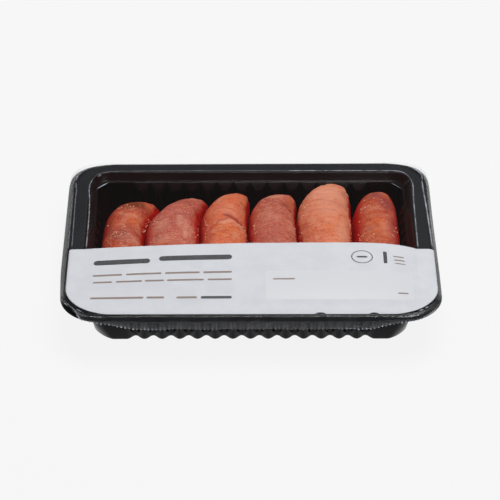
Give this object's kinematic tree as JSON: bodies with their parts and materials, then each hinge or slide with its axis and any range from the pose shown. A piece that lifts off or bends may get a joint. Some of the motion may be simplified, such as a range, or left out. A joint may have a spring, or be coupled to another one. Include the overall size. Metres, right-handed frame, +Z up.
{
  "type": "sealed tray pack of mentaiko",
  "caption": "Sealed retail pack of seasoned pollock roe sacs: black fluted tray, clear lid film with a hanging edge, and a paper label over the front part.",
  "frame": {"origin": "middle of the tray's base, on the surface that the pack stands on", "axes": "+X along the pack's long side to the right, +Y towards the back, +Z up; the label lies over the front part, towards -Y"},
  "size_m": [0.205, 0.1546, 0.0338],
  "materials": {
    "tray": "thermoformed black plastic, satin gloss",
    "roe": "soft moist roe sac with a thin wrinkled skin, satin",
    "film": "clear lid film, glossy, with a zigzag cut edge",
    "label": "matte cool white label of coated paper"
  },
  "bodies": {
    "root": {"tray": "tray", "roe_1": "roe", "roe_2": "roe", "roe_3": "roe", "roe_4": "roe", "roe_5": "roe", "roe_6": "roe", "film": "film", "label": "label"}
  },
  "joints": []
}
